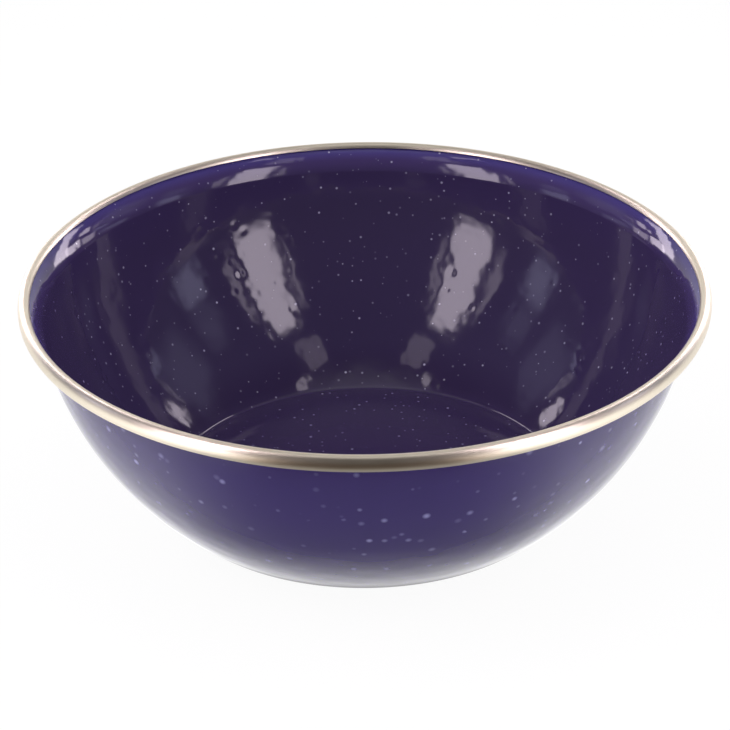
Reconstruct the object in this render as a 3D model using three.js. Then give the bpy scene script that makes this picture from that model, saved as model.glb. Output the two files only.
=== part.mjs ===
// Enamelled steel bowl with a rolled stainless rim band.
// Millimetres, +Z up, origin at the centre of the underside of the base.

import * as THREE from 'three';

// Overall sizes of the finished bowl
const RIM_DIAMETER = 155;
const BOWL_HEIGHT = 51.5;
const BASE_DIAMETER = 90;

// Shape of the wall in section, measured on the outside of the bowl
const BASE_CORNER_RADIUS = 2.6;
const WALL_ARC_RADIUS = 77;
const LIP_OVERHANG = 4.5;
const LIP_HEIGHT = 6;

// Lip: a crisp bend at the shoulder, then a flare that ends inside the band
const FLARE_START_SLOPE = THREE.MathUtils.degToRad(70);
const SHOULDER_BEND_RADIUS = 1.8;
const EDGE_INSET = 1.3;
const EDGE_DROP = 0.55;

// Thickness of the pressed sheet and of each fired coat
const STEEL_THICKNESS = 0.6;
const ENAMEL_THICKNESS = 0.2;

// Section of the strip rolled over the edge of the lip
const BAND_WIDTH = 2.7;
const BAND_HEIGHT = 3.85;
const BAND_THICKNESS = 0.35;
const SIDE_BULGE = 0.2;
const UPPER_TURN = THREE.MathUtils.degToRad(165);
const LOWER_TURN = THREE.MathUtils.degToRad(140);

// Fineness of the faceted surfaces
const ROUND_SEGMENTS = 60;
const CORNER_STEPS = 2;
const WALL_STEPS = 7;
const SHOULDER_STEPS = 1;
const FLARE_STEPS = 4;
const HALF_BEND_STEPS = 2;
const BAND_SIDE_STEPS = 4;

// Depths of the sheet's faces, measured inwards from the outside of the bowl
const STEEL_OUTER_DEPTH = ENAMEL_THICKNESS;
const STEEL_INNER_DEPTH = STEEL_OUTER_DEPTH + STEEL_THICKNESS;
const WALL_THICKNESS = STEEL_INNER_DEPTH + ENAMEL_THICKNESS;

const RIM_RADIUS = RIM_DIAMETER / 2;
const BASE_RADIUS = BASE_DIAMETER / 2;

// Band section: two equal bends, above and below, joined by a bulging side
const band = bandSection();

// Wall section: base corner, wall arc and flared lip, each tangent to the next
const wall = wallArc();
const corner = baseCorner();
const lip = lipFlare();

function bandSection() {
  const bendRadius = (BAND_WIDTH - SIDE_BULGE) / 2;
  const bendCentre = RIM_RADIUS - BAND_WIDTH + bendRadius;
  const middle = BOWL_HEIGHT - BAND_HEIGHT / 2;
  const rise = BAND_HEIGHT / 2 - bendRadius;
  const reach = RIM_RADIUS - bendCentre;
  const sideRadius = (reach ** 2 + rise ** 2 - bendRadius ** 2) / (2 * (reach - bendRadius));
  const sideCentre = RIM_RADIUS - sideRadius;
  const joinAngle = Math.atan2(rise, bendCentre - sideCentre);
  return { bendRadius, bendCentre, middle, rise, sideRadius, sideCentre, joinAngle };
}

// Arc from the base circle to the shoulder under the lip, centred inside the bowl
function wallArc() {
  const foot = new THREE.Vector2(BASE_RADIUS, 0);
  const shoulder = new THREE.Vector2(RIM_RADIUS - LIP_OVERHANG, BOWL_HEIGHT - LIP_HEIGHT);
  const chord = shoulder.clone().sub(foot);
  const inward = new THREE.Vector2(-chord.y, chord.x).normalize();
  const centre = foot.clone().addScaledVector(chord, 0.5);
  centre.addScaledVector(inward, Math.sqrt(WALL_ARC_RADIUS ** 2 - chord.lengthSq() / 4));
  const topSlope = Math.atan2(shoulder.x - centre.x, centre.y - shoulder.y);
  return { shoulder, centre, topSlope };
}

// Fillet tangent to the flat base and to the wall arc
function baseCorner() {
  const drop = wall.centre.y - BASE_CORNER_RADIUS;
  const span = WALL_ARC_RADIUS - BASE_CORNER_RADIUS;
  const out = Math.sqrt(span ** 2 - drop ** 2);
  const centre = new THREE.Vector2(wall.centre.x + out, BASE_CORNER_RADIUS);
  return { centre, topSlope: Math.atan2(out, drop) };
}

// Direction square to a slope, to the outside of the bowl
function outwardFrom(slope) {
  return new THREE.Vector2(Math.sin(slope), -Math.cos(slope));
}

// Bend at the shoulder, and the arc from it to the lip's edge inside the band
function lipFlare() {
  const fromWall = outwardFrom(wall.topSlope);
  const fromFlare = outwardFrom(FLARE_START_SLOPE);
  const bendCentre = wall.shoulder.clone().addScaledVector(fromWall, SHOULDER_BEND_RADIUS - WALL_THICKNESS);
  const start = bendCentre.clone().addScaledVector(fromFlare, -SHOULDER_BEND_RADIUS);
  const edge = new THREE.Vector2(RIM_RADIUS - EDGE_INSET, BOWL_HEIGHT - EDGE_DROP);
  const chord = edge.clone().sub(start);
  const radius = chord.lengthSq() / (2 * chord.dot(fromFlare));
  const centre = start.clone().addScaledVector(fromFlare, radius);
  return { bendCentre, centre, radius, edgeRadius: edge.x };
}

// Points of an arc, by the angle of the radius from the section's outward axis
function arcPoints(centre, radius, startAngle, endAngle, steps) {
  const points = [];
  for (let i = 0; i <= steps; i += 1) {
    const angle = THREE.MathUtils.lerp(startAngle, endAngle, i / steps);
    points.push(new THREE.Vector2(centre.x + radius * Math.cos(angle), centre.y + radius * Math.sin(angle)));
  }
  return points;
}

// One face of the sheet, from the axis out along the base and up to the lip's edge
function sheetFace(depth) {
  const quarter = Math.PI / 2;
  const cornerRadius = BASE_CORNER_RADIUS - depth;
  const wallRadius = WALL_ARC_RADIUS - depth;
  const bendRadius = SHOULDER_BEND_RADIUS - WALL_THICKNESS + depth;
  const flareRadius = lip.radius - WALL_THICKNESS + depth;
  const edgeSlope = Math.asin((lip.centre.x - lip.edgeRadius) / flareRadius);
  const cornerTop = corner.topSlope - quarter;
  const wallTop = wall.topSlope - quarter;
  const flareStart = FLARE_START_SLOPE + quarter;
  return [
    new THREE.Vector2(0, depth),
    ...arcPoints(corner.centre, cornerRadius, -quarter, cornerTop, CORNER_STEPS),
    ...arcPoints(wall.centre, wallRadius, cornerTop, wallTop, WALL_STEPS).slice(1),
    ...arcPoints(lip.bendCentre, bendRadius, wallTop + Math.PI, flareStart, SHOULDER_STEPS).slice(1),
    ...arcPoints(lip.centre, flareRadius, flareStart, edgeSlope + quarter, FLARE_STEPS).slice(1),
  ];
}

// One face of the strip, from its upper edge over the top and round to its lower edge
function bandFace(depth) {
  const quarter = Math.PI / 2;
  const bendRadius = band.bendRadius - depth;
  const upperBend = new THREE.Vector2(band.bendCentre, band.middle + band.rise);
  const lowerBend = new THREE.Vector2(band.bendCentre, band.middle - band.rise);
  const side = new THREE.Vector2(band.sideCentre, band.middle);
  const { joinAngle, sideRadius } = band;
  return [
    ...arcPoints(upperBend, bendRadius, UPPER_TURN, quarter, HALF_BEND_STEPS),
    ...arcPoints(upperBend, bendRadius, quarter, joinAngle, HALF_BEND_STEPS).slice(1),
    ...arcPoints(side, sideRadius - depth, joinAngle, -joinAngle, BAND_SIDE_STEPS).slice(1),
    ...arcPoints(lowerBend, bendRadius, -joinAngle, -quarter, HALF_BEND_STEPS).slice(1),
    ...arcPoints(lowerBend, bendRadius, -quarter, -LOWER_TURN, HALF_BEND_STEPS).slice(1),
  ];
}

// Solid of revolution about +Z from a section in the plane of the axis
function revolve(section) {
  return new THREE.LatheGeometry(section, ROUND_SEGMENTS).rotateX(Math.PI / 2);
}

// Layer of the sheet between two of its faces, closed on the axis and across the lip's edge
function sheetLayer(outerDepth, innerDepth) {
  return revolve([...sheetFace(outerDepth), ...sheetFace(innerDepth).reverse()]);
}

function rolledBand() {
  const outside = bandFace(0);
  return revolve([...outside.reverse(), ...bandFace(BAND_THICKNESS), outside[0]]);
}

function piece(name, geometry, finish) {
  const mesh = new THREE.Mesh(geometry, new THREE.MeshStandardMaterial(finish));
  mesh.name = name;
  return mesh;
}

const blueEnamel = { color: 0x2a2570, roughness: 0.12, metalness: 0 };
const bareSteel = { color: 0x6c6e72, roughness: 0.55, metalness: 0.9 };
const polishedStainless = { color: 0xc9c0ad, roughness: 0.18, metalness: 1 };

const bowl = new THREE.Group();
bowl.add(
  piece('exterior_enamel', sheetLayer(0, STEEL_OUTER_DEPTH), blueEnamel),
  piece('steel_shell', sheetLayer(STEEL_OUTER_DEPTH, STEEL_INNER_DEPTH), bareSteel),
  piece('interior_enamel', sheetLayer(STEEL_INNER_DEPTH, WALL_THICKNESS), blueEnamel),
  piece('rim_band', rolledBand(), polishedStainless),
);

export default bowl;
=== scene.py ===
# Looks of an enamelled steel bowl with a rolled stainless rim band, on a white table.
# Each piece is turned about +Z from the section that its solid has, much more finely, with the
# unevenness of a fired coat. Metres, +Z up, origin at the centre of the underside of the base.

import math

import bpy
import numpy as np
from mathutils import Matrix, Vector


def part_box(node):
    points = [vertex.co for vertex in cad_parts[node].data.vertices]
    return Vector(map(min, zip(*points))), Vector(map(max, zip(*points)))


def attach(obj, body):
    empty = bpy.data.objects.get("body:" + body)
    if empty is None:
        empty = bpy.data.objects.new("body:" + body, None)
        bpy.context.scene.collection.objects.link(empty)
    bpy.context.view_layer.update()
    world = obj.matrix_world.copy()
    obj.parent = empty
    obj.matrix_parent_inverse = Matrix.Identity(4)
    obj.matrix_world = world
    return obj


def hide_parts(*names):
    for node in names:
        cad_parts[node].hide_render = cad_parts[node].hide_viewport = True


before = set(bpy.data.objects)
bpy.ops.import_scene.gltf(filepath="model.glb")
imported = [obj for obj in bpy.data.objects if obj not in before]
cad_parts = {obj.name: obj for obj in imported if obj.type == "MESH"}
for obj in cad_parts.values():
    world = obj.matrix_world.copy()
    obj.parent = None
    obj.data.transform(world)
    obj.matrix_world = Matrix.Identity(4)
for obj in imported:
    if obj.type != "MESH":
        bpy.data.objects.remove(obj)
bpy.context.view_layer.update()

MM = 0.001
QUARTER = math.pi / 2

# Sizes that the solids hold
BAND_LOW, BAND_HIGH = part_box("rim_band")
LIP_LOW, LIP_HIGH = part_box("interior_enamel")
SHEET_LOW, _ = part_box("steel_shell")
RIM_RADIUS = BAND_HIGH.x
BOWL_HEIGHT = BAND_HIGH.z
BAND_HEIGHT = BAND_HIGH.z - BAND_LOW.z
STEEL_OUTER_DEPTH = SHEET_LOW.z
STEEL_INNER_DEPTH = LIP_LOW.z
WALL_THICKNESS = STEEL_INNER_DEPTH + STEEL_OUTER_DEPTH

# Section of the wall, measured on the outside of the bowl
BASE_RADIUS = 45 * MM
BASE_CORNER_RADIUS = 2.6 * MM
WALL_ARC_RADIUS = 77 * MM
LIP_OVERHANG = 4.5 * MM
LIP_HEIGHT = 6 * MM
FLARE_START_SLOPE = math.radians(70)
SHOULDER_BEND_RADIUS = 1.8 * MM
LIP_EDGE = np.array((LIP_HIGH.x, LIP_HIGH.z))

# Section of the strip rolled over the lip's edge
BAND_WIDTH = 2.7 * MM
BAND_THICKNESS = 0.35 * MM
SIDE_BULGE = 0.2 * MM
BAND_BEND_RADIUS = (BAND_WIDTH - SIDE_BULGE) / 2
UPPER_TURN = math.radians(165)
LOWER_TURN = math.radians(140)

# Fineness of the turned meshes: steps along a section, and the share of a step that gentle
# stretches, curves and the shoulder bend are cut at
ROUND_SEGMENTS = 900
FACE_STEP = 0.4 * MM
HIDDEN_STEP = 2 * MM
BAND_STEP = 0.08 * MM
GENTLE_SHARE = 2
CURVE_SHARE = 1 / 2
BEND_SHARE = 1 / 4
LEAST_ARC_STEPS = 3
SMOOTH_ANGLE = math.radians(40)


def arc_points(centre, radius, start_angle, end_angle, step):
    """Points of an arc, by the angle of the radius from the section's outward axis."""
    count = max(LEAST_ARC_STEPS, math.ceil(abs(end_angle - start_angle) * radius / step))
    angles = np.linspace(start_angle, end_angle, count + 1)
    return centre + radius * np.column_stack((np.cos(angles), np.sin(angles)))


def wall_arc():
    """Centre and top slope of the arc from the base circle to the shoulder under the lip."""
    foot = np.array((BASE_RADIUS, 0.0))
    shoulder = np.array((RIM_RADIUS - LIP_OVERHANG, BOWL_HEIGHT - LIP_HEIGHT))
    chord = shoulder - foot
    inward = np.array((-chord[1], chord[0])) / np.linalg.norm(chord)
    centre = (foot + shoulder) / 2 + inward * math.sqrt(WALL_ARC_RADIUS**2 - chord @ chord / 4)
    top_slope = math.atan2(shoulder[0] - centre[0], centre[1] - shoulder[1])
    return shoulder, centre, top_slope


def base_corner():
    """Centre and top slope of the fillet between the flat base and the wall."""
    drop = WALL_CENTRE[1] - BASE_CORNER_RADIUS
    span = WALL_ARC_RADIUS - BASE_CORNER_RADIUS
    out = math.sqrt(span**2 - drop**2)
    return np.array((WALL_CENTRE[0] + out, BASE_CORNER_RADIUS)), math.atan2(out, drop)


def outward_from(slope):
    """Direction square to a slope, to the outside of the bowl."""
    return np.array((math.sin(slope), -math.cos(slope)))


def lip_flare():
    """Centre of the shoulder bend, and centre and inside radius of the flare above it."""
    from_flare = outward_from(FLARE_START_SLOPE)
    bend_centre = SHOULDER + outward_from(WALL_SLOPE) * (SHOULDER_BEND_RADIUS - WALL_THICKNESS)
    start = bend_centre - from_flare * SHOULDER_BEND_RADIUS
    chord = LIP_EDGE - start
    radius = chord @ chord / (2 * chord @ from_flare)
    return bend_centre, start + from_flare * radius, radius


SHOULDER, WALL_CENTRE, WALL_SLOPE = wall_arc()
CORNER_CENTRE, CORNER_SLOPE = base_corner()
BEND_CENTRE, FLARE_CENTRE, FLARE_RADIUS = lip_flare()


def sheet_face(depth, step):
    """One face of the sheet, from the axis out along the base and up to the lip's edge."""
    corner_radius = BASE_CORNER_RADIUS - depth
    wall_radius = WALL_ARC_RADIUS - depth
    bend_radius = SHOULDER_BEND_RADIUS - WALL_THICKNESS + depth
    flare_radius = FLARE_RADIUS - WALL_THICKNESS + depth
    edge_slope = math.asin((FLARE_CENTRE[0] - LIP_EDGE[0]) / flare_radius)
    corner_top = CORNER_SLOPE - QUARTER
    wall_top = WALL_SLOPE - QUARTER
    flare_start = FLARE_START_SLOPE + QUARTER
    base_count = math.ceil(CORNER_CENTRE[0] / (step * GENTLE_SHARE))
    base_radii = np.linspace(0, CORNER_CENTRE[0], base_count, endpoint=False)
    base = np.column_stack((base_radii, np.full(base_count, depth)))
    corner = arc_points(CORNER_CENTRE, corner_radius, -QUARTER, corner_top, step * CURVE_SHARE)
    wall = arc_points(WALL_CENTRE, wall_radius, corner_top, wall_top, step)
    bend = arc_points(BEND_CENTRE, bend_radius, wall_top + math.pi, flare_start, step * BEND_SHARE)
    flare_end = edge_slope + QUARTER
    flare = arc_points(FLARE_CENTRE, flare_radius, flare_start, flare_end, step * CURVE_SHARE)
    return np.vstack((base, corner, wall[1:], bend[1:], flare[1:]))


def band_face(depth):
    """One face of the strip, from its upper edge over the top and round to its lower edge."""
    bend_centre = RIM_RADIUS - BAND_WIDTH + BAND_BEND_RADIUS
    middle = BOWL_HEIGHT - BAND_HEIGHT / 2
    rise = BAND_HEIGHT / 2 - BAND_BEND_RADIUS
    reach = RIM_RADIUS - bend_centre
    side_radius = (reach**2 + rise**2 - BAND_BEND_RADIUS**2) / (2 * (reach - BAND_BEND_RADIUS))
    side_centre = np.array((RIM_RADIUS - side_radius, middle))
    join_angle = math.atan2(rise, bend_centre - side_centre[0])
    bend_radius = BAND_BEND_RADIUS - depth
    upper_bend = np.array((bend_centre, middle + rise))
    lower_bend = np.array((bend_centre, middle - rise))
    side_step = BAND_STEP * GENTLE_SHARE
    return np.vstack((
        arc_points(upper_bend, bend_radius, UPPER_TURN, join_angle, BAND_STEP),
        arc_points(side_centre, side_radius - depth, join_angle, -join_angle, side_step)[1:],
        arc_points(lower_bend, bend_radius, -join_angle, -LOWER_TURN, BAND_STEP)[1:],
    ))


def section_normals(points):
    """Directions square to a run of section points, on its right-hand side."""
    along = np.gradient(points, axis=0)
    along /= np.linalg.norm(along, axis=1, keepdims=True)
    return np.column_stack((along[:, 1], -along[:, 0]))


def turn(radii, heights):
    """Points of section rings carried round +Z, one row per ring."""
    angles = np.linspace(0, 2 * math.pi, ROUND_SEGMENTS, endpoint=False)
    x = np.outer(radii, np.cos(angles))
    y = np.outer(radii, np.sin(angles))
    z = np.repeat(heights[:, None], ROUND_SEGMENTS, axis=1)
    return np.stack((x, y, z), axis=-1)


def closed_mesh(name, rings, ends_on_axis):
    """Smooth mesh through rings of points: a closed loop of rings, or two ends on the axis."""
    count = len(rings)
    columns = np.arange(ROUND_SEGMENTS)
    following = np.roll(columns, -1)
    points = rings.reshape(-1, 3)
    faces = []
    if ends_on_axis:
        points = np.vstack((rings[0, :1], rings[1:-1].reshape(-1, 3), rings[-1, :1]))
        top = len(points) - 1
        first = 1
        last = 1 + (count - 3) * ROUND_SEGMENTS
        under = np.column_stack((np.zeros_like(columns), first + following, first + columns))
        over = np.column_stack((last + columns, last + following, np.full_like(columns, top)))
        faces += under.tolist() + over.tolist()
        starts = [1 + i * ROUND_SEGMENTS for i in range(count - 2)]
        pairs = list(zip(starts, starts[1:]))
    else:
        starts = [i * ROUND_SEGMENTS for i in range(count)]
        pairs = list(zip(starts, starts[1:] + starts[:1]))
    for lower, upper in pairs:
        strip = (lower + columns, lower + following, upper + following, upper + columns)
        faces += np.column_stack(strip).tolist()
    mesh = bpy.data.meshes.new(name)
    mesh.from_pydata(points.tolist(), [], faces)
    mesh.polygons.foreach_set("use_smooth", np.ones(len(faces), bool))
    mesh.set_sharp_from_angle(angle=SMOOTH_ANGLE)
    mesh.update()
    made = bpy.data.objects.new(name, mesh)
    bpy.context.scene.collection.objects.link(made)
    return made


def waviness(points, rng, length, height):
    """Slow unevenness of a coat that flowed in the kiln: many plane waves in random directions."""
    directions = rng.normal(size=(WAVE_COUNT, 3))
    directions /= np.linalg.norm(directions, axis=1, keepdims=True)
    lengths = length * rng.uniform(*WAVE_SPREAD, WAVE_COUNT)
    phases = rng.uniform(0, 2 * math.pi, WAVE_COUNT)
    total = np.zeros(points.shape[:-1])
    for direction, wave, phase in zip(directions, lengths, phases):
        total += np.sin(points @ direction * (2 * math.pi / wave) + phase)
    return total * height * math.sqrt(2 / WAVE_COUNT)


def pimples(points, centres, widths, heights):
    """Small rounded bumps in the coat."""
    total = np.zeros(points.shape[:-1])
    for centre, width, height in zip(centres, widths, heights):
        distance = np.linalg.norm(points - centre, axis=-1)
        total += height * np.exp(-0.5 * (distance / width) ** 2)
    return total


def sheet_layer(name, outer_face, inner_face, outer_relief=None, inner_relief=None):
    """One layer of the wall between two of its faces, with relief on the face that shows."""
    outer = turn(outer_face[:, 0], outer_face[:, 1])
    inner = turn(inner_face[:, 0], inner_face[:, 1])
    if outer_relief is not None:
        normals = section_normals(outer_face)
        outer = outer + turn(normals[:, 0], normals[:, 1]) * outer_relief(outer)[..., None]
    if inner_relief is not None:
        normals = -section_normals(inner_face)
        inner = inner + turn(normals[:, 0], normals[:, 1]) * inner_relief(inner)[..., None]
    return closed_mesh(name, np.concatenate((outer, inner[::-1])), True)


def smooth_step(values, low, high):
    """Rise from 0 at `low` to 1 at `high`, level at both ends."""
    share = np.clip((values - low) / (high - low), 0, 1)
    return share * share * (3 - 2 * share)


# Unevenness of the two coats: slow ripples, finer dimples, and where each fades out
WAVE_COUNT = 40
WAVE_SPREAD = (0.6, 1.6)
RIPPLE_LENGTH = 7 * MM
RIPPLE_HEIGHT = 0.009 * MM
DIMPLE_LENGTH = 3.2 * MM
DIMPLE_HEIGHT = 0.0045 * MM
LIP_EDGE_FADE = (0, 1 * MM)
FOOT_FADE = (0.3 * MM, 4 * MM)
INSIDE_SEED = 7
OUTSIDE_SEED = 11

# Small pimples scattered over the inside wall: levels that they lie between, widths and heights in mm
SCATTERED_PIMPLES = 26
SCATTERED_LEVELS = (4 * MM, 44 * MM)
SCATTERED_WIDTHS = (0.4, 0.6)
SCATTERED_HEIGHTS = (0.015, 0.04)

# Larger pimples of the inside coat: bearing from the back in degrees, level, width and height in mm
PIMPLES = [
    (-27.5, 25.6, 0.65, 0.075),
    (-26.7, 36.3, 0.6, 0.05),
    (-24.8, 34.7, 0.6, 0.05),
    (-16.6, 33.1, 0.45, 0.03),
    (-15.2, 30.9, 0.4, 0.025),
    (-19.6, 22.3, 0.4, 0.03),
    (-31.5, 30.4, 0.5, 0.04),
    (-28.9, 28.6, 0.45, 0.03),
    (-17.5, 16.5, 0.4, 0.025),
    (-29.7, 22.0, 0.45, 0.03),
    (-37.6, 20.3, 0.5, 0.035),
    (19.2, 23.9, 0.65, 0.07),
    (18.8, 20.2, 0.5, 0.045),
    (25.5, 17.5, 0.4, 0.03),
    (43.1, 27.2, 0.4, 0.03),
    (47.5, 23.5, 0.4, 0.03),
    (59.5, 16.2, 0.5, 0.04),
    (23.6, 37.6, 0.45, 0.03),
]


def on_inside_wall(bearing, level):
    """Point of the inside wall at a level, by its bearing from the back in degrees."""
    rise = WALL_CENTRE[1] - level
    radius = WALL_CENTRE[0] + math.sqrt((WALL_ARC_RADIUS - WALL_THICKNESS) ** 2 - rise**2)
    angle = math.radians(bearing)
    return np.array((radius * math.sin(angle), radius * math.cos(angle), level))


def inside_relief(points):
    """Ripples and pimples of the inside coat, level where the band covers it."""
    rng = np.random.default_rng(INSIDE_SEED)
    ripples = waviness(points, rng, RIPPLE_LENGTH, RIPPLE_HEIGHT)
    ripples += waviness(points, rng, DIMPLE_LENGTH, DIMPLE_HEIGHT)
    flat = points.reshape(-1, 3)
    lowest, highest = SCATTERED_LEVELS
    wall = flat[(flat[:, 2] > lowest) & (flat[:, 2] < highest)]
    centres = wall[rng.choice(len(wall), SCATTERED_PIMPLES)]
    widths = rng.uniform(*SCATTERED_WIDTHS, SCATTERED_PIMPLES) * MM
    heights = rng.uniform(*SCATTERED_HEIGHTS, SCATTERED_PIMPLES) * MM
    bumps = pimples(points, centres, widths, heights)
    for bearing, level, width, height in PIMPLES:
        bumps += pimples(points, [on_inside_wall(bearing, level * MM)], [width * MM], [height * MM])
    return (ripples + bumps) * smooth_step(LIP_EDGE[1] - points[..., 2], *LIP_EDGE_FADE)


def outside_relief(points):
    """Ripples of the outside coat, fading out on the underside that the bowl stands on."""
    ripples = waviness(points, np.random.default_rng(OUTSIDE_SEED), RIPPLE_LENGTH, RIPPLE_HEIGHT)
    return ripples * smooth_step(points[..., 2], *FOOT_FADE)


def rolled_band():
    """Stainless strip closed over the lip's edge."""
    section = np.vstack((band_face(0)[::-1], band_face(BAND_THICKNESS)))
    return closed_mesh("rolled_rim_band", turn(section[:, 0], section[:, 1]), False)


def link(tree, source, target):
    tree.links.new(source, target)


def feed(tree, socket, value):
    """Link a socket to a socket, or set it to a value."""
    if isinstance(value, bpy.types.NodeSocket):
        link(tree, value, socket)
    else:
        socket.default_value = value


def maths(tree, operation, *values):
    """Math node between sockets or numbers."""
    made = tree.nodes.new("ShaderNodeMath")
    made.operation = operation
    for socket, value in zip(made.inputs, values):
        feed(tree, socket, value)
    return made.outputs["Value"]


def colour_mix(tree, share, first, second):
    """Mix of two colours, `first` where the share is 0 and `second` where it is 1."""
    made = tree.nodes.new("ShaderNodeMix")
    made.data_type = "RGBA"
    factor, start, end = (socket for socket in made.inputs if socket.enabled)
    feed(tree, factor, share)
    feed(tree, start, first)
    feed(tree, end, second)
    return next(socket for socket in made.outputs if socket.enabled)


def new_group(name, inputs, outputs):
    """Empty node group with named sockets, and its two end nodes."""
    group = bpy.data.node_groups.new(name, "ShaderNodeTree")
    for label, kind in inputs:
        group.interface.new_socket(label, in_out="INPUT", socket_type=kind)
    for label, kind in outputs:
        group.interface.new_socket(label, in_out="OUTPUT", socket_type=kind)
    start = group.nodes.new("NodeGroupInput")
    end = group.nodes.new("NodeGroupOutput")
    return group, start.outputs, end.inputs


def place_group(tree, group, values):
    """Group placed in a material with its own values."""
    made = tree.nodes.new("ShaderNodeGroup")
    made.node_tree = group
    for label, value in values.items():
        feed(tree, made.inputs[label], value)
    return made.outputs


# Fired specks: how they drift together, and the smallest and faintest as shares of the largest
DRIFTS_PER_METRE = 55
DRIFT_DETAIL = 1
DRIFT_GAIN = 2.0
SMALLEST_SPECK = 0.4
FAINTEST_SPECK = 0.2
SPECK_SOFTNESS = 0.75
BRIGHTNESS_BIAS = 2.0

# Wear: unevenness of the patches, and the noise levels that count as sharpest and dullest
PATCH_DETAIL = 5
PATCH_ROUGHNESS = 0.6
PATCH_LOW, PATCH_HIGH = 0.3, 0.7


def fired_specks_group():
    """White specks fired into a coloured coat, at random sizes and in loose drifts."""
    group, given, result = new_group(
        "fired_specks",
        [
            ("Place", "NodeSocketVector"),
            ("Cells per metre", "NodeSocketFloat"),
            ("Largest speck", "NodeSocketFloat"),
            ("Share", "NodeSocketFloat"),
            ("Ground", "NodeSocketColor"),
            ("Speck", "NodeSocketColor"),
        ],
        [("Colour", "NodeSocketColor")],
    )
    cells = group.nodes.new("ShaderNodeTexVoronoi")
    link(group, given["Place"], cells.inputs["Vector"])
    link(group, given["Cells per metre"], cells.inputs["Scale"])
    chance = group.nodes.new("ShaderNodeSeparateColor")
    link(group, cells.outputs["Color"], chance.inputs["Color"])
    drifts = group.nodes.new("ShaderNodeTexNoise")
    link(group, given["Place"], drifts.inputs["Vector"])
    drifts.inputs["Scale"].default_value = DRIFTS_PER_METRE
    drifts.inputs["Detail"].default_value = DRIFT_DETAIL
    drift = maths(group, "MULTIPLY", drifts.outputs["Fac"], DRIFT_GAIN)
    drift_share = maths(group, "MULTIPLY", given["Share"], drift)
    present = maths(group, "LESS_THAN", chance.outputs["Red"], drift_share)
    size = maths(group, "MULTIPLY_ADD", chance.outputs["Green"], 1 - SMALLEST_SPECK, SMALLEST_SPECK)
    radius = maths(group, "MULTIPLY", size, given["Largest speck"])
    inset = maths(group, "SUBTRACT", radius, cells.outputs["Distance"])
    edge = maths(group, "DIVIDE", inset, maths(group, "MULTIPLY", radius, SPECK_SOFTNESS))
    edge.node.use_clamp = True
    brightness = maths(group, "POWER", chance.outputs["Blue"], BRIGHTNESS_BIAS)
    strength = maths(group, "MULTIPLY_ADD", brightness, 1 - FAINTEST_SPECK, FAINTEST_SPECK)
    mask = maths(group, "MULTIPLY", maths(group, "MULTIPLY", edge, present), strength)
    colour = colour_mix(group, mask, given["Ground"], given["Speck"])
    link(group, colour, result["Colour"])
    return group


def surface_wear_group():
    """Gloss that varies softly over a surface from handling and washing."""
    group, given, result = new_group(
        "surface_wear",
        [
            ("Place", "NodeSocketVector"),
            ("Patches per metre", "NodeSocketFloat"),
            ("Sharpest", "NodeSocketFloat"),
            ("Dullest", "NodeSocketFloat"),
        ],
        [("Roughness", "NodeSocketFloat"), ("Patches", "NodeSocketFloat")],
    )
    patches = group.nodes.new("ShaderNodeTexNoise")
    link(group, given["Place"], patches.inputs["Vector"])
    link(group, given["Patches per metre"], patches.inputs["Scale"])
    patches.inputs["Detail"].default_value = PATCH_DETAIL
    patches.inputs["Roughness"].default_value = PATCH_ROUGHNESS
    spread = group.nodes.new("ShaderNodeMapRange")
    link(group, patches.outputs["Fac"], spread.inputs["Value"])
    spread.inputs["From Min"].default_value = PATCH_LOW
    spread.inputs["From Max"].default_value = PATCH_HIGH
    link(group, given["Sharpest"], spread.inputs["To Min"])
    link(group, given["Dullest"], spread.inputs["To Max"])
    link(group, spread.outputs["Result"], result["Roughness"])
    link(group, patches.outputs["Fac"], result["Patches"])
    return group


def new_material(name):
    """Material with a Principled BSDF and the object's own coordinates."""
    material = bpy.data.materials.new(name)
    material.use_nodes = True
    tree = material.node_tree
    shader = tree.nodes["Principled BSDF"]
    place = tree.nodes.new("ShaderNodeTexCoord").outputs["Object"]
    return material, tree, shader.inputs, place


def add_bump(tree, height, distance, shader):
    """Bump node from a height, with its depth in metres."""
    bump = tree.nodes.new("ShaderNodeBump")
    bump.inputs["Strength"].default_value = 1.0
    bump.inputs["Distance"].default_value = distance
    link(tree, height, bump.inputs["Height"])
    link(tree, bump.outputs["Normal"], shader["Normal"])


def add_wear(tree, place, patches, gloss, shader):
    """Roughness that varies between two values in soft patches, and the patches themselves."""
    sharpest, dullest = gloss
    wear = place_group(tree, SURFACE_WEAR, {
        "Place": place,
        "Patches per metre": patches,
        "Sharpest": sharpest,
        "Dullest": dullest,
    })
    link(tree, wear["Roughness"], shader["Roughness"])
    return wear["Patches"]


# Blue glaze: the outside coat's blue, the inside coat's colours by level, which carry painted shade
# and light, and each coat's specks
OUTSIDE_BLUE = (0.031, 0.019, 0.105, 1)
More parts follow.
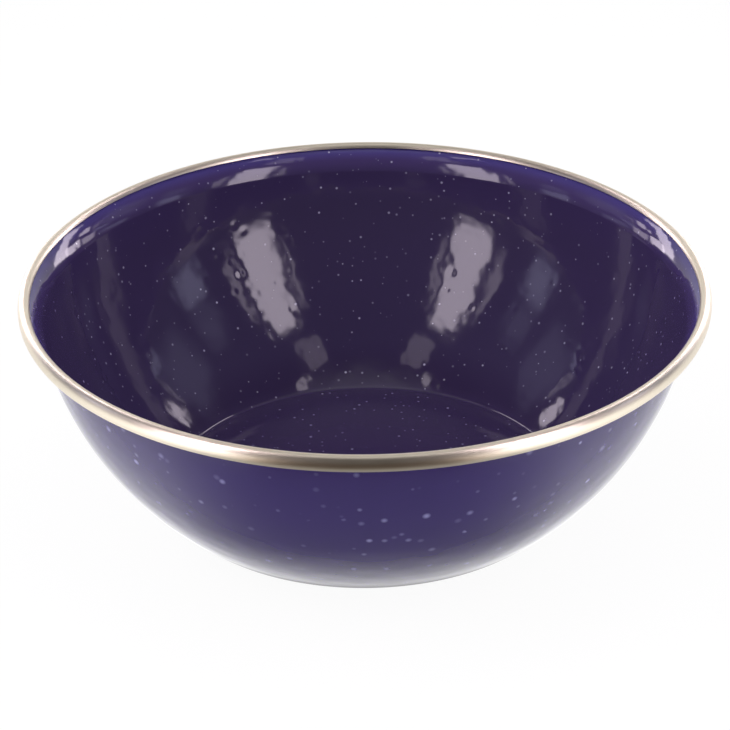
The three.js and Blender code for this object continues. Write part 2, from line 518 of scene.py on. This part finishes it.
# Painted shading of the one enamel: the inside is darker and greyer than the outside blue as painted
# shade, darkest at 3 mm as painted shade in the crease above the floor, a little lighter on the floor
# and up the wall, and lighter and bluer up the lip as painted light where it faces up.
INSIDE_BLUES_AND_PAINTED_SHADING = [
    (0.5 * MM, (0.027, 0.017, 0.056, 1)),
    (3 * MM, (0.022, 0.013, 0.047, 1)),
    (10 * MM, (0.027, 0.018, 0.056, 1)),
    (36 * MM, (0.031, 0.021, 0.062, 1)),
    (45 * MM, (0.032, 0.021, 0.068, 1)),
    (48 * MM, (0.04, 0.026, 0.092, 1)),
    (50.5 * MM, (0.05, 0.038, 0.165, 1)),
]
OUTSIDE_SPECKS = {
    "Speck": (0.25, 0.25, 0.45, 1),
    "Cells per metre": 280.0,
    "Largest speck": 0.3,
    "Share": 0.85,
}
INSIDE_SPECKS = {
    "Speck": (0.4, 0.38, 0.52, 1),
    "Cells per metre": 520.0,
    "Largest speck": 0.21,
    "Share": 0.85,
}
GLAZE_IOR = 1.52
GLAZE_PATCHES = 60.0
GLAZE_GLOSS = (0.05, 0.09)
PEEL_PER_METRE = 420
PEEL_DETAIL = 1.5
PEEL_DEPTH = 0.008 * MM


def blend_painted_shading_by_level(tree, place, blues_and_painted_shading):
    """Colour that changes smoothly from level to level up the wall: painted shade and light by height.
    """
    height = tree.nodes.new("ShaderNodeSeparateXYZ")
    link(tree, place, height.inputs["Vector"])
    blend = tree.nodes.new("ShaderNodeValToRGB")
    blend.color_ramp.interpolation = "EASE"
    stops = blend.color_ramp.elements
    while len(stops) < len(blues_and_painted_shading):
        stops.new(0.5)
    for stop, (level, colour) in zip(stops, blues_and_painted_shading):
        stop.position = level / BOWL_HEIGHT
        stop.color = colour
    link(tree, maths(tree, "DIVIDE", height.outputs["Z"], BOWL_HEIGHT), blend.inputs["Fac"])
    return blend.outputs["Color"]


def glaze_material(name, ground_and_painted_shading, specks):
    """Glassy coat of one blue, or of colours by level that carry painted shade and light, with white
    specks and a fine orange-peel surface.
    """
    material, tree, shader, place = new_material(name)
    if isinstance(ground_and_painted_shading, list):
        ground_and_painted_shading = blend_painted_shading_by_level(tree, place, ground_and_painted_shading)
    fired = place_group(tree, FIRED_SPECKS, {"Place": place, "Ground": ground_and_painted_shading, **specks})
    link(tree, fired["Colour"], shader["Base Color"])
    add_wear(tree, place, GLAZE_PATCHES, GLAZE_GLOSS, shader)
    shader["IOR"].default_value = GLAZE_IOR
    peel = tree.nodes.new("ShaderNodeTexNoise")
    link(tree, place, peel.inputs["Vector"])
    peel.inputs["Scale"].default_value = PEEL_PER_METRE
    peel.inputs["Detail"].default_value = PEEL_DETAIL
    add_bump(tree, peel.outputs["Fac"], PEEL_DEPTH, shader)
    return material


# Stainless strip: its polish lines run lengthwise, so its gloss is drawn out a quarter turn from them
STRIP_GLOSS = (0.33, 0.39)
STRIP_PATCHES = 90.0
STRIP_TINTS = ((0.79, 0.7, 0.56, 1), (0.87, 0.79, 0.66, 1))
POLISH_LINES = 0.6
QUARTER_OF_A_TURN = 0.25

# Bare sheet: pickled grey, in blotches
SHEET_METALLIC = 0.9
SHEET_GLOSS = (0.4, 0.65)
SHEET_PATCHES = 200.0
SHEET_TINTS = ((0.11, 0.11, 0.12, 1), (0.2, 0.2, 0.21, 1))
PICKLING_DEPTH = 0.02 * MM


def stainless_material():
    """Polished strip, a little softer across its length than along it."""
    material, tree, shader, place = new_material("polished_stainless")
    shader["Metallic"].default_value = 1.0
    patches = add_wear(tree, place, STRIP_PATCHES, STRIP_GLOSS, shader)
    shader["Anisotropic"].default_value = POLISH_LINES
    shader["Anisotropic Rotation"].default_value = QUARTER_OF_A_TURN
    lengthwise = tree.nodes.new("ShaderNodeTangent")
    lengthwise.direction_type = "RADIAL"
    lengthwise.axis = "Z"
    link(tree, lengthwise.outputs["Tangent"], shader["Tangent"])
    link(tree, colour_mix(tree, patches, *STRIP_TINTS), shader["Base Color"])
    return material


def bare_steel_material():
    """Grey sheet under the coats, with the blotches of pickling."""
    material, tree, shader, place = new_material("bare_sheet_steel")
    shader["Metallic"].default_value = SHEET_METALLIC
    patches = add_wear(tree, place, SHEET_PATCHES, SHEET_GLOSS, shader)
    link(tree, colour_mix(tree, patches, *SHEET_TINTS), shader["Base Color"])
    add_bump(tree, patches, PICKLING_DEPTH, shader)
    return material


def finish_piece(piece, node, material):
    """Material, CAD node and body of a finished piece."""
    piece.data.materials.append(material)
    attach(piece, "root")
    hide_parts(node)


# Studio table: it lies a hair under the base, and is clear there so that the underside can be seen
TABLE_HALF_WIDTH = 3.0
TABLE_DROP = 0.1 * MM
TABLE_OPENING = CORNER_CENTRE[0]
TABLE_PAINT = (0.86, 0.86, 0.86, 1)
TABLE_SHADOW_SHARE = 0.05
WHITE = (1, 1, 1, 1)

# Levels of white that the table has in reflections only, as painted light and shade: a painted contact
# shadow at the base's edge, painted light round the base and beside the bowl, painted shade under the
# foot in front, a painted pool of lamp light, a dark painted front with a warm painted tint, and plain
# white behind
CONTACT_PAINTED_SHADOW = 0.55
BASE_PAINTED_LIGHT = 1.5
FOOT_PAINTED_SHADE = 0.33
BESIDE_PAINTED_LIGHT = 1.1
FRONT_PAINTED_SHADE = 0.06
LAMP_PAINTED_LIGHT = 1.4
REAR_GLARE = 1.0
FRONT_PAINTED_SHADE_TINT = (1.0, 0.7, 0.5, 1)

# Distances from the axis over which one level gives way to the next
CONTACT_REACH = (44.7 * MM, 46.6 * MM)
BASE_REACH = (41 * MM, 64 * MM)
FAR_REACH = (95 * MM, 125 * MM)

# The same by bearing, as the cosine of the angle from straight in front
BESIDE_TO_FOOT = (0.47, 0.97)
REAR_TO_LAMP = (-0.2, 0.5)
LAMP_TO_FRONT = (0.8, 0.94)

# Room: levels of the wall behind and of the front, and the parts of a direction that they change over
WALL_LOW_LEVEL = 0.88
WALL_HIGH_LEVEL = 0.56
ROOM_FRONT_LEVEL = 0.08
CEILING_LEVEL = 0.8
WALL_RISE = (0.0, 0.8)
CEILING_RISE = (0.88, 1.0)
FRONT_TO_BACK = (0.4, 0.8)


def eased_range(tree, value, low, high, from_low, from_high):
    """Smooth change between two levels as a value crosses a range."""
    made = tree.nodes.new("ShaderNodeMapRange")
    made.interpolation_type = "SMOOTHSTEP"
    feed(tree, made.inputs["Value"], value)
    feed(tree, made.inputs["From Min"], from_low)
    feed(tree, made.inputs["From Max"], from_high)
    feed(tree, made.inputs["To Min"], low)
    feed(tree, made.inputs["To Max"], high)
    return made.outputs["Result"]


def painted_table_light(tree):
    """Level and tint of the table in reflections, by place, as painted light and shade, and a mask of
    the part under the base.
    """
    place = tree.nodes.new("ShaderNodeTexCoord").outputs["Object"]
    split = tree.nodes.new("ShaderNodeSeparateXYZ")
    link(tree, place, split.inputs["Vector"])
    distance = tree.nodes.new("ShaderNodeVectorMath")
    distance.operation = "LENGTH"
    link(tree, place, distance.inputs[0])
    away = distance.outputs["Value"]
    frontness = maths(tree, "DIVIDE", split.outputs["Y"], maths(tree, "MULTIPLY", away, -1.0))
    foot = eased_range(tree, frontness, BESIDE_PAINTED_LIGHT, FOOT_PAINTED_SHADE, *BESIDE_TO_FOOT)
    base = eased_range(tree, away, BASE_PAINTED_LIGHT, foot, *BASE_REACH)
    near = eased_range(tree, away, CONTACT_PAINTED_SHADOW, base, *CONTACT_REACH)
    side = eased_range(tree, frontness, REAR_GLARE, LAMP_PAINTED_LIGHT, *REAR_TO_LAMP)
    far = eased_range(tree, frontness, side, FRONT_PAINTED_SHADE, *LAMP_TO_FRONT)
    beyond = eased_range(tree, away, 0.0, 1.0, *FAR_REACH)
    level = eased_range(tree, beyond, near, far, 0.0, 1.0)
    tint = maths(tree, "MULTIPLY", beyond, eased_range(tree, frontness, 0.0, 1.0, *LAMP_TO_FRONT))
    return level, tint, maths(tree, "LESS_THAN", away, TABLE_OPENING)


def white_table():
    """Pale floor that reads as white, keeps a soft shadow, glows with painted light and shade in
    reflections, and shows the underside from below.
    """
    mesh = bpy.data.meshes.new("white_table")
    half = TABLE_HALF_WIDTH
    signs = ((-1, -1), (1, -1), (1, 1), (-1, 1))
    corners = [(half * across, half * along, -TABLE_DROP) for across, along in signs]
    mesh.from_pydata(corners, [], [(0, 1, 2, 3)])
    table = bpy.data.objects.new("white_table", mesh)
    bpy.context.scene.collection.objects.link(table)
    material = bpy.data.materials.new("white_table")
    material.use_nodes = True
    tree = material.node_tree
    tree.nodes.clear()
    matt = tree.nodes.new("ShaderNodeBsdfDiffuse")
    matt.inputs["Color"].default_value = TABLE_PAINT
    glow = tree.nodes.new("ShaderNodeEmission")
    mix = tree.nodes.new("ShaderNodeMixShader")
    output = tree.nodes.new("ShaderNodeOutputMaterial")
    path = tree.nodes.new("ShaderNodeLightPath").outputs
    seen = maths(tree, "MULTIPLY", path["Is Camera Ray"], 1 - TABLE_SHADOW_SHARE)
    link(tree, maths(tree, "MAXIMUM", seen, path["Is Glossy Ray"]), mix.inputs["Fac"])
    # In reflections the table shows painted light and shade in place of its own lit shading; the
    # camera sees plain white.
    painted_light_level, tint, opening = painted_table_light(tree)
    white_level = maths(tree, "MULTIPLY", path["Is Camera Ray"], maths(tree, "SUBTRACT", 1.0, painted_light_level))
    link(tree, maths(tree, "ADD", painted_light_level, white_level), glow.inputs["Strength"])
    tint = maths(tree, "MULTIPLY", tint, maths(tree, "SUBTRACT", 1.0, path["Is Camera Ray"]))
    link(tree, colour_mix(tree, tint, WHITE, FRONT_PAINTED_SHADE_TINT), glow.inputs["Color"])
    link(tree, matt.outputs["BSDF"], mix.inputs[1])
    link(tree, glow.outputs["Emission"], mix.inputs[2])
    clear = tree.nodes.new("ShaderNodeBsdfTransparent")
    clear.inputs["Color"].default_value = WHITE
    sides = tree.nodes.new("ShaderNodeMixShader")
    below = tree.nodes.new("ShaderNodeNewGeometry").outputs["Backfacing"]
    link(tree, maths(tree, "MAXIMUM", below, opening), sides.inputs["Fac"])
    link(tree, mix.outputs["Shader"], sides.inputs[1])
    link(tree, clear.outputs["BSDF"], sides.inputs[2])
    link(tree, sides.outputs["Shader"], output.inputs["Surface"])
    mesh.materials.append(material)


def studio_world():
    """White for the camera; for the bowl, a white wall behind and a dim room in front."""
    world = bpy.data.worlds.new("white_studio")
    world.use_nodes = True
    tree = world.node_tree
    tree.nodes.clear()
    direction = tree.nodes.new("ShaderNodeTexCoord")
    split = tree.nodes.new("ShaderNodeSeparateXYZ")
    link(tree, direction.outputs["Generated"], split.inputs["Vector"])
    wall = eased_range(tree, split.outputs["Z"], WALL_LOW_LEVEL, WALL_HIGH_LEVEL, *WALL_RISE)
    front = eased_range(tree, split.outputs["Z"], ROOM_FRONT_LEVEL, CEILING_LEVEL, *CEILING_RISE)
    level = eased_range(tree, split.outputs["Y"], front, wall, *FRONT_TO_BACK)
    path = tree.nodes.new("ShaderNodeLightPath").outputs
    strength = maths(tree, "MAXIMUM", level, path["Is Camera Ray"])
    background = tree.nodes.new("ShaderNodeBackground")
    background.inputs["Color"].default_value = WHITE
    link(tree, strength, background.inputs["Strength"])
    output = tree.nodes.new("ShaderNodeOutputWorld")
    link(tree, background.outputs["Background"], output.inputs["Surface"])
    bpy.context.scene.world = world


# Upright lamp panels, one of each on both sides: name, bearing from the back in degrees, distance,
# width, lowest and highest level, radiance, and the share of its size that each soft edge takes
LAMPS = [
    ("front_softbox", 132.3, 0.242, 0.079, 0.078, 0.344, 5.8, 0.12),
    ("front_inner_flap", 145.2, 0.239, 0.020, 0.100, 0.310, 1.9, 0.35),
    ("front_outer_flap", 118.1, 0.245, 0.026, 0.090, 0.285, 1.9, 0.35),
    ("upper_softbox", 139.0, 0.253, 0.084, 0.384, 0.609, 1.1, 0.15),
    ("top_glint", 117.2, 0.265, 0.063, 0.604, 0.693, 3.0, 0.1),
    ("back_tall_panel", 38.7, 0.285, 0.046, 0.065, 0.250, 6.0, 0.1),
    ("back_low_panel", 46.0, 0.278, 0.048, 0.065, 0.135, 6.0, 0.1),
    ("back_low_flap", 56.5, 0.278, 0.045, 0.065, 0.130, 2.8, 0.2),
    ("back_spot", 51.9, 0.277, 0.029, 0.152, 0.194, 4.8, 0.12),
    ("back_spot_flap", 58.9, 0.278, 0.014, 0.140, 0.205, 1.2, 0.35),
    ("front_side_panel", 103.0, 0.250, 0.130, 0.060, 0.090, 0.7, 0.35),
    ("front_low_panel", 132.3, 0.242, 0.100, 0.002, 0.062, 3.0, 0.1),
    ("crease_lamp", 35.0, 0.6, 0.17, 0.54, 0.826, 6.0, 0.15),
    ("crease_upper_lamp", 35.0, 0.6, 0.17, 0.92, 1.35, 1.5, 0.15),
]
# Windows beside the bowl, in the same order
WINDOWS = [
    ("side_low_panel", 71.8, 0.294, 0.105, 0.065, 0.120, 0.6, 0.35),
    ("side_panel_edge", 62.6, 0.281, 0.070, 0.118, 0.150, 0.8, 0.4),
    ("side_panel", 71.2, 0.265, 0.161, 0.112, 0.284, 0.34, 0.35),
    ("side_window", 98.0, 0.248, 0.085, 0.078, 0.168, 1.1, 0.35),
    ("side_upper_window", 97.0, 0.250, 0.090, 0.140, 0.260, 0.35, 0.4),
]
LAMP_COLOUR = (1.0, 0.88, 1.0)
WINDOW_COLOUR = (1.0, 1.0, 1.4)
FILL_COLOUR = (1.0, 1.0, 1.0)

# Lamps that only light the bowl, and aren't mirrored in the glaze: name, place, width, radiance
FILLS = [
    ("overhead_fill", (0, 0, 1.8), 1.6, 0.95),
    ("left_fill", (-1.2, 0, 1.0), 0.8, 6.5),
    ("right_fill", (1.2, 0, 1.0), 0.8, 3.6),
]


def lamp_panel(name, width, height, radiance, colour):
    """Area light of a given radiance that the camera doesn't see."""
    light = bpy.data.lights.new(name, "AREA")
    light.shape = "RECTANGLE"
    light.size = width
    light.size_y = height
    light.color = colour
    light.energy = radiance * math.pi * width * height
    made = bpy.data.objects.new(name, light)
    made.visible_camera = False
    bpy.context.scene.collection.objects.link(made)
    return made


def soften_edges(light, softness):
    """Fade a lamp panel out towards its four edges; places on it run from 0 to 1 each way."""
    light.use_nodes = True
    tree = light.node_tree
    split = tree.nodes.new("ShaderNodeSeparateXYZ")
    link(tree, tree.nodes.new("ShaderNodeNewGeometry").outputs["Parametric"], split.inputs["Vector"])
    middle = 0.5
    fades = []
    for axis in "XY":
        off_centre = maths(tree, "ABSOLUTE", maths(tree, "SUBTRACT", split.outputs[axis], middle))
        fades.append(eased_range(tree, off_centre, 1.0, 0.0, middle - softness, middle))
    link(tree, maths(tree, "MULTIPLY", *fades), tree.nodes["Emission"].inputs["Strength"])


def upright_lamp(name, colour, bearing, distance, width, low, high, radiance, softness):
    """Lamp panel standing upright and facing the bowl."""
    made = lamp_panel(name, width, high - low, radiance, colour)
    soften_edges(made.data, softness)
    facing = Matrix.Rotation(-math.radians(bearing), 4, "Z") @ Matrix.Rotation(-QUARTER, 4, "X")
    outwards = Matrix.Translation((0, 0, distance))
    made.matrix_world = Matrix.Translation((0, 0, (low + high) / 2)) @ facing @ outwards


def fill_lamp(name, place, width, radiance):
    """Square lamp panel that faces the bowl."""
    made = lamp_panel(name, width, width, radiance, FILL_COLOUR)
    made.location = place
    made.rotation_euler = Vector(place).to_track_quat("Z", "Y").to_euler()
    made.visible_glossy = False


# Camera: the photograph's view of the bowl, with its roll in radians and its lens in pixels
CAMERA_ELEVATION = math.radians(28.4)
CAMERA_DISTANCE = 10.775 * RIM_RADIUS
CAMERA_ROLL = -0.0103
CAMERA_TARGET = Vector((-0.0011, 0, 0.406)) * RIM_RADIUS
FOCAL_PIXELS = 3690
IMAGE_PIXELS = 730
SENSOR_WIDTH = 36


def photograph_camera():
    """Camera at the photograph's angle, distance and lens."""
    lens = bpy.data.cameras.new("photograph_camera")
    lens.sensor_width = SENSOR_WIDTH
    lens.lens = FOCAL_PIXELS / IMAGE_PIXELS * SENSOR_WIDTH
    made = bpy.data.objects.new("photograph_camera", lens)
    back = Vector((0, -math.cos(CAMERA_ELEVATION), math.sin(CAMERA_ELEVATION)))
    tilt = Matrix.Rotation(QUARTER - CAMERA_ELEVATION, 4, "X")
    roll = Matrix.Rotation(CAMERA_ROLL, 4, "Z")
    made.matrix_world = Matrix.Translation(CAMERA_TARGET + back * CAMERA_DISTANCE) @ tilt @ roll
    bpy.context.scene.collection.objects.link(made)
    bpy.context.scene.camera = made


SURFACE_WEAR = surface_wear_group()
FIRED_SPECKS = fired_specks_group()

outside_glaze = glaze_material("outside_blue_glaze", OUTSIDE_BLUE, OUTSIDE_SPECKS)
inside_glaze = glaze_material("inside_blue_glaze", INSIDE_BLUES_AND_PAINTED_SHADING, INSIDE_SPECKS)

outer_face = sheet_face(0, FACE_STEP)
steel_outer_face = sheet_face(STEEL_OUTER_DEPTH, HIDDEN_STEP)
steel_inner_face = sheet_face(STEEL_INNER_DEPTH, HIDDEN_STEP)
inner_face = sheet_face(WALL_THICKNESS, FACE_STEP)

outside_coat = sheet_layer(
    "outside_blue_coat", outer_face, steel_outer_face, outer_relief=outside_relief)
pressed_shell = sheet_layer("pressed_steel_shell", steel_outer_face, steel_inner_face)
inside_coat = sheet_layer("inside_blue_coat", steel_inner_face, inner_face, inner_relief=inside_relief)
rim_band = rolled_band()

finish_piece(outside_coat, "exterior_enamel", outside_glaze)
finish_piece(pressed_shell, "steel_shell", bare_steel_material())
finish_piece(inside_coat, "interior_enamel", inside_glaze)
finish_piece(rim_band, "rim_band", stainless_material())

white_table()
studio_world()
for fill in FILLS:
    fill_lamp(*fill)
for panels, colour in ((LAMPS, LAMP_COLOUR), (WINDOWS, WINDOW_COLOUR)):
    for name, bearing, *sizes in panels:
        upright_lamp(name + "_right", colour, bearing, *sizes)
        upright_lamp(name + "_left", colour, -bearing, *sizes)
photograph_camera()
bpy.context.scene.view_settings.view_transform = "Standard"
